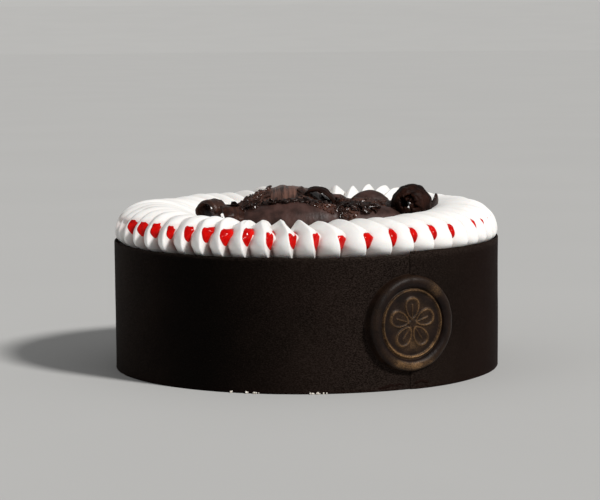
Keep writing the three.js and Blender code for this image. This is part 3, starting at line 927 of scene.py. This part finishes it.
def shavingMesh(values, seed):
    values = {**usualShaving, **values}
    radius, length, sweep = values["radius"], values["length"], math.radians(values["sweep"])
    rows = max(14, round(values["sweep"] / chocolate["stepDegrees"]))
    columns = max(14, min(66, round(length / chocolate["stepLength"])))
    u = np.linspace(-0.5, 0.5, rows)[:, None]
    v = np.linspace(-0.5, 0.5, columns)[None, :]
    arc = radius * sweep
    bend = u * (1 + values["ragged"] * brokenEdge(v * length, u, seed, 51) * (0.4 + 8 / max(arc, 8)))
    along = v * (1 + values["ragged"] * brokenEdge(u * arc, v, seed, 53) * (0.4 + 8 / max(length, 8)))
    curve = (radius - values["coil"] * (bend + 0.5)) * (1 - values["barrel"] * 4 * along * along)
    angle = bend * sweep + math.radians(values["roll"])
    x = along * length * (1 - values["taper"] * 4 * bend * bend)
    middle = stacked(x, values["wide"] * curve * np.sin(angle), curve * np.cos(angle) - radius)
    ribs = grain(stacked(along * length, bend * arc * 0.12, seed * 5.0), chocolate["ribSpacing"], 55)
    rough = grain(middle + seed * 17, 3.6, 56) + 0.6 * grain(middle + seed * 17, 1.5, 57)
    middle = middle + normals(middle) * (values["ribs"] * ribs + 0.55 * values["rough"] * rough)[..., None]
    rim = rimmed(rows, columns, (arc / rows, length / columns))
    depth = values["thickness"] * mixed(chocolate["edgeDepth"], 1, rim)
    depth = depth * (1 + 0.3 * values["rough"] * grain(middle, 2.6, 58))
    points, faces = closedSheet(middle, np.maximum(depth, 0.35))
    turn = np.array(Euler([math.radians(t) for t in values["turn"]], "XYZ").to_matrix())
    scrape = stacked(along * length, bend * arc, seed * 30.0).reshape(-1, 3) * mm
    return points @ turn.T + np.array(values["at"]), faces, np.concatenate([scrape, scrape])


def chocolatePiece(name, points, faces, finish, scrape, rounded=True):
    # scrape says where each point lies on its own shaving, for the streaks
    paint = chocolatePaints[finish]
    return makePiece(name, points, faces, paint, {"scrape": scrape}, rounded)


heapParts = []               # what the loose bits can lie on


def makeShavings():
    for seed, (node, values) in enumerate(shavings.items(), 1):
        points, faces, scrape = shavingMesh(values, seed)
        heapParts.append((points, faces))
        first, second = node.split("_")
        piece = chocolatePiece(first + second.capitalize(), points, [faces], values["finish"], scrape)
        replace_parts(piece, node)


makeShavings()
print("shavings done")

bed = {
    "centre": (3.0, -5.0),
    "reach": (43.0, 37.0),
    "foot": 73.2,
    "edge": 74.6,
    "crown": 83.6,
    "columns": 120,
    "rows": 42,
    "finish": "rough",
}


def makeBed():
    # a low core with relief, hidden under the loose flakes
    angle = np.linspace(0, 2 * np.pi, bed["columns"], endpoint=False)[None, :]
    share = np.concatenate([[1.0], np.linspace(1.0, 0.03, bed["rows"])])[:, None]
    rim = 1 + 0.07 * grain(stacked(np.cos(angle) * 5, np.sin(angle) * 5, 0.0), 1.6, 61)
    x = bed["centre"][0] + bed["reach"][0] * share * rim * np.cos(angle)
    y = bed["centre"][1] + bed["reach"][1] * share * rim * np.sin(angle)
    rise = np.cos(share * np.pi / 2).clip(0) ** 0.75
    height = bed["edge"] + (bed["crown"] - bed["edge"]) * rise
    flat = stacked(x, y, 0.0)
    height = height + (1.0 * grain(flat, 6, 62) + 0.8 * grain(flat, 2.4, 63)) * smooth(1.0, 0.9, share)
    height[0] = bed["foot"]
    rings = stacked(x, y, height)
    points, faces = closedTube(rings, [*bed["centre"], bed["foot"]], rings[-1].mean(axis=0))
    heapParts.append((points, faces[0]))
    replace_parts(chocolatePiece("flakeBedCore", points, faces, bed["finish"], points * mm), "flake_bed")


def heapTree():
    # the heap for rays to fall on, with the number of the part that each face is in
    points, faces = joined(heapParts)
    listed = [face for group in faces for face in group.tolist()]
    owners = np.repeat(np.arange(len(faces)), [len(group) for group in faces])
    return BVHTree.FromPolygons(points.tolist(), listed), owners


def scatter(random, heap, count, spots):
    # places on top of the heap, each with the normal there
    tree, owners = heap
    names = list(shavings) + ["core"]
    chance = np.array([share for *_, share, _ in spots], float)
    chance /= chance.sum()
    found = []
    while len(found) < count:
        x, y, reachX, reachY, _, ground = spots[random.choice(len(spots), p=chance)]
        out, turned = math.sqrt(random.random()), random.random() * 2 * math.pi
        above = Vector((x + reachX * out * math.cos(turned), y + reachY * out * math.sin(turned), 130))
        point, normal, face, _ = tree.ray_cast(above, Vector((0, 0, -1)))
        if point is not None and ground in (None, names[owners[face]]):
            found.append((point, normal if normal.z > 0 else -normal))
    return found


def flakeMesh(random, size):
    # a thin curved flake with a broken outline
    rows, columns = 4, 5
    u = np.linspace(-0.5, 0.5, rows)[:, None]
    v = np.linspace(-0.5, 0.5, columns)[None, :]
    long, wide = size * random.uniform(0.9, 1.7), size * random.uniform(0.45, 0.9)
    bow = random.uniform(-0.35, 0.6) * size
    x = v * long * (1 - 0.5 * u * random.uniform(-1, 1))
    middle = stacked(x, u * wide * (1 - 1.2 * v * v), bow * (0.25 - v * v))
    middle = middle + random.normal(0, 0.06 * size, middle.shape)
    return closedSheet(middle, np.full((rows, columns), random.uniform(0.28, 0.62)))


def plateMesh(random, size):
    # a broken plate that follows the curve it lies on
    rows, columns = 7, 9
    u = np.linspace(-0.5, 0.5, rows)[:, None]
    v = np.linspace(-0.5, 0.5, columns)[None, :]
    long, wide = size * random.uniform(0.8, 1.3), size * random.uniform(0.35, 0.7)
    skew = random.uniform(-0.6, 0.6)
    x, y = v * long + u * wide * skew, u * wide * (1 + random.uniform(-0.5, 0.5) * v)
    ripple = grain(stacked(x, y, random.uniform(0, 90)), 1.7, 64)
    middle = stacked(x + 0.12 * ripple, y + 0.12 * ripple, 0.22 * ripple - 0.035 * (x * x + y * y) / 2)
    middle = middle + random.normal(0, 0.05, middle.shape)
    return closedSheet(middle, np.full((rows, columns), random.uniform(0.4, 0.75)))


def granuleMesh(random, size):
    # a broken crumb: a box with its corners knocked about and its faces swollen
    corners = np.array([[x, y, z] for z in (-1, 0, 1) for y in (-1, 0, 1) for x in (-1, 0, 1)], float)
    length = np.linalg.norm(corners, axis=1, keepdims=True)
    keep = length[:, 0] > 0
    shaped = corners / np.maximum(length, 1) ** random.uniform(0.3, 0.9)
    shaped = (shaped + random.normal(0, 0.16, shaped.shape)) * size / 2 * random.uniform(0.65, 1.25, 3)
    number = np.cumsum(keep) - 1
    faces = []
    for axis in range(3):
        first, second = [a for a in range(3) if a != axis]
        for end in (0, 2):
            for i in (0, 1):
                for j in (0, 1):
                    quad = []
                    for di, dj in ((0, 0), (1, 0), (1, 1), (0, 1)):
                        cell = [0, 0, 0]
                        cell[axis], cell[first], cell[second] = end, i + di, j + dj
                        quad.append(number[cell[0] + 3 * cell[1] + 9 * cell[2]])
                    faces.append(quad)
    return shaped[keep], np.array(faces)


def strewn(random, heap, values):
    parts = []
    smallest, largest = values["size"]
    for point, normal in scatter(random, heap, values["count"], values["spots"]):
        oversize = random.random() >= 0.8   # one in five is larger than the rest
        size = random.uniform(largest, largest * 1.45) if oversize else random.uniform(smallest, largest)
        points, faces = values["shape"](random, size)
        lean = Euler(random.uniform(-values["lean"], values["lean"], 3).tolist()).to_matrix()
        spin = Matrix.Rotation(random.uniform(0, 2 * math.pi), 3, "Z")
        stand = Vector((0, 0, 1)).rotation_difference(normal).to_matrix()
        turn = np.array(stand @ lean @ spin)
        parts.append((points @ turn.T + np.array(point) + np.array(normal) * size * values["lift"], faces))
    return joined(parts)


# A spot is x, y, its reach in x and in y, its share of the bits, and the one part that they lie on there or
# None. lift is how high a bit lies, as a share of its size, and lean how far it may tip, in radians.
looseBits = {
    "chocolateFlakes": {
        "shape": flakeMesh, "count": 600, "size": (1.8, 4.2), "lift": 0.1, "lean": 0.5, "finish": "glossy",
        "spots": ((3, -5, 43, 37, 0.7, "core"), (24, -31, 13, 6, 0.08, None), (-32, -32, 9, 7, 0.08, None),
                  (-9, -36, 24, 3.5, 0.04, None)),
    },
    "chocolatePlates": {
        "shape": plateMesh, "count": 84, "size": (2.4, 5.6), "lift": 0.0, "lean": 0.08, "finish": "rough",
        "spots": ((-28, -17, 9, 9, 0.2, "curl_mound"), (5, -15, 9, 10, 0.12, "curl_mound"),
                  (33, -19, 16, 10, 0.26, "slab_right"), (-9, -35, 24, 3.5, 0.08, None),
                  (3, -2, 34, 26, 0.2, "core")),
    },
    "chocolateGranules": {
        "shape": granuleMesh, "count": 900, "size": (0.5, 1.3), "lift": 0.15, "lean": 3.0,
        "finish": "sparkling", "rounded": False,
        "spots": ((3, -5, 43, 37, 0.35, "core"), (13, -37, 14, 7, 0.36, None), (29, -22, 13, 8, 0.12, None),
                  (-30, -34, 9, 7, 0.1, None), (-28, -14, 9, 6, 0.08, None)),
    },
}


def makeLooseBits():
    heap = heapTree()
    random = np.random.default_rng(51)
    for name, values in looseBits.items():
        points, faces = strewn(random, heap, values)
        chocolatePiece(name, points, faces, values["finish"], points * mm, values.get("rounded", True))


makeBed()
makeLooseBits()
print("heap done")


# crumbs of cream and smears of chocolate at the cake's foot
foot = {
    # azimuth and how many
    "crumbs": ((-21.5, 1), (-16.8, 3), (-15.1, 4), (-14, 3), (1.8, 3), (3.4, 4), (4.6, 3)),
    "crumbSize": (0.5, 1.3),
    "crumbDark": (0.55, 0.49, 0.42),
    "crumbLight": (0.82, 0.78, 0.72),
    # azimuth, height, half length and half height
    "smears": ((22.6, 2.2, 5.4, 1.0), (26.0, 2.6, 3.6, 0.8), (33.5, 3.4, 4.6, 0.9)),
    "perDegree": 1.79,       # millimetres along the strip for one degree
}


def crumbPaint():
    paint = Paint("creamCrumb")
    cloud = paint.noise(0.8, 4)
    color = paint.blend(cloud.step(0.35, 0.65), foot["crumbDark"], foot["crumbLight"])
    return paint.finish(Base_Color=color, Roughness=0.6 + cloud * 0.2, Normal=paint.bump(cloud, 0.3))


def makeCrumbs():
    random = np.random.default_rng(17)
    parts = []
    for azimuth, count in foot["crumbs"]:
        for _ in range(count):
            size = random.uniform(*foot["crumbSize"])
            points, faces = granuleMesh(random, size)
            radius = strip["radius"] + 0.2 + size * 0.25
            at = polar(azimuth + random.normal(0, 0.5), radius, 0.25 + size * 0.3)
            points[:, 2] = np.maximum(points[:, 2], 0.02 - at[2])   # none goes into the ground
            parts.append((points + at, faces))
    points, faces = joined(parts)
    makePiece("creamCrumbs", points, faces, crumbPaint(), rounded=False)


def makeSmears():
    parts = []
    a = np.linspace(-1, 1, 25)[None, :]
    b = np.linspace(-1, 1, 9)[:, None]
    for number, (azimuth, height, halfLength, halfHeight) in enumerate(foot["smears"]):
        wave = 0.5 * np.sin(3.1 * a + number)
        at = azimuth + a * halfLength / foot["perDegree"]
        level = height + halfHeight * (b * np.sqrt(np.clip(1.02 - a * a, 0, 1)) + wave)
        rise = 0.32 * np.clip(1 - b * b, 0, 1) * np.clip(1 - a ** 4, 0, 1)
        rise = rise * (1 + 0.4 * grain(stacked(at * 1.8, level, 0.0), 1.6, 71))
        middle = polar(at, stripOuter(at) + rise * 0.5 - 0.1, level)
        parts.append(closedSheet(middle, np.maximum(rise, 0.08)))
    points, faces = joined(parts)
    # the reddish tint is the smears' own colour here, with no painted light or shade
    warm = np.full(len(points), 0.8)
    marks = {"warm": warm, "dust": 0 * warm, "deep": 0 * warm}
    paint = bpy.data.materials["darkChocolateStrip"]
    makePiece("chocolateSmears", points, faces, paint, marks)


makeCrumbs()
makeSmears()
print("foot done")


studio = {
    "floor": (0.52, 0.52, 0.515),
    # radius and height of the rings of the floor, which rises far away
    "floorRings": ((10.0, 0.0), (14.0, 0.25), (20.0, 1.0), (60.0, 7.0)),
    "floorSides": 96,
    "world": (0.27, 0.27, 0.268),
    "sunStrength": 3.12,
    "sunAngle": 9.0,         # degrees across, for soft shadows
    "sunFrom": (0.77, -0.64, 0.9),
    "sunColor": (1.0, 0.985, 0.96),
    "fillColor": (0.96, 0.98, 1.0),
    "fillPower": 1.5,
    "fillFrom": (-1.5, -1.0, 0.7),
    "fillSize": 1.2,
    "lightsMeet": (0, 0, 0.05),
    "cameraPlace": (-0.0033, -1.2, 0.1853),
    "pitch": 5.93,           # degrees down
    "roll": -0.43,
    "lens": 136.18,
    "sensor": 36,
}


def makeFloor():
    paint = Paint("paleFloor")
    cloud = paint.noise(260, 3)
    fine = paint.noise(1.4, 3)
    color = paint.blend(cloud.step(0.3, 0.7), studio["floor"], tuple(c * 1.02 for c in studio["floor"]))
    finish = paint.finish(
        Base_Color=color, Roughness=0.8 + fine * 0.1, Normal=paint.bump(fine, 0.1, 0.2),
        Specular_IOR_Level=0.2,
    )
    sides = studio["floorSides"]
    turned = np.linspace(0, 2 * np.pi, sides, endpoint=False)[None, :]
    radius, height = np.array(studio["floorRings"]).T[:, :, None]
    points = stacked(radius * np.cos(turned), radius * np.sin(turned), height).reshape(-1, 3)
    mesh = bpy.data.meshes.new("floor")
    mesh.from_pydata(points.tolist(), [], gridFaces(len(radius), sides, True).tolist() + [list(range(sides))])
    mesh.materials.append(finish)
    floor = bpy.data.objects.new("floor", mesh)
    bpy.context.scene.collection.objects.link(floor)


def makeLamp(kind, name, place, strength, color, **settings):
    # it shines at the middle of the cake
    lamp = bpy.data.lights.new(name, kind)
    lamp.energy = strength
    lamp.color = color
    for key, value in settings.items():
        setattr(lamp, key, value)
    made = bpy.data.objects.new(name, lamp)
    made.location = place
    made.rotation_euler = (Vector(studio["lightsMeet"]) - Vector(place)).to_track_quat("-Z", "Y").to_euler()
    bpy.context.scene.collection.objects.link(made)


def makeCamera():
    camera = bpy.data.cameras.new("camera")
    camera.lens = studio["lens"]
    camera.sensor_width = studio["sensor"]
    made = bpy.data.objects.new("camera", camera)
    tilt = Matrix.Rotation(math.radians(90 - studio["pitch"]), 4, "X")
    roll = Matrix.Rotation(math.radians(studio["roll"]), 4, "Z")
    made.matrix_world = Matrix.Translation(studio["cameraPlace"]) @ tilt @ roll
    bpy.context.scene.collection.objects.link(made)
    bpy.context.scene.camera = made


def makeStudio():
    makeFloor()
    world = bpy.data.worlds.new("studio")
    world.use_nodes = True
    world.node_tree.nodes["Background"].inputs["Color"].default_value = (*studio["world"], 1)
    scene = bpy.context.scene
    scene.world = world
    scene.view_settings.view_transform = "Standard"
    sun = {"angle": math.radians(studio["sunAngle"])}
    fill = {"shape": "DISK", "size": studio["fillSize"]}
    makeLamp("SUN", "key", studio["sunFrom"], studio["sunStrength"], studio["sunColor"], **sun)
    makeLamp("AREA", "fill", studio["fillFrom"], studio["fillPower"], studio["fillColor"], **fill)
    makeCamera()


makeStudio()
print("studio done")
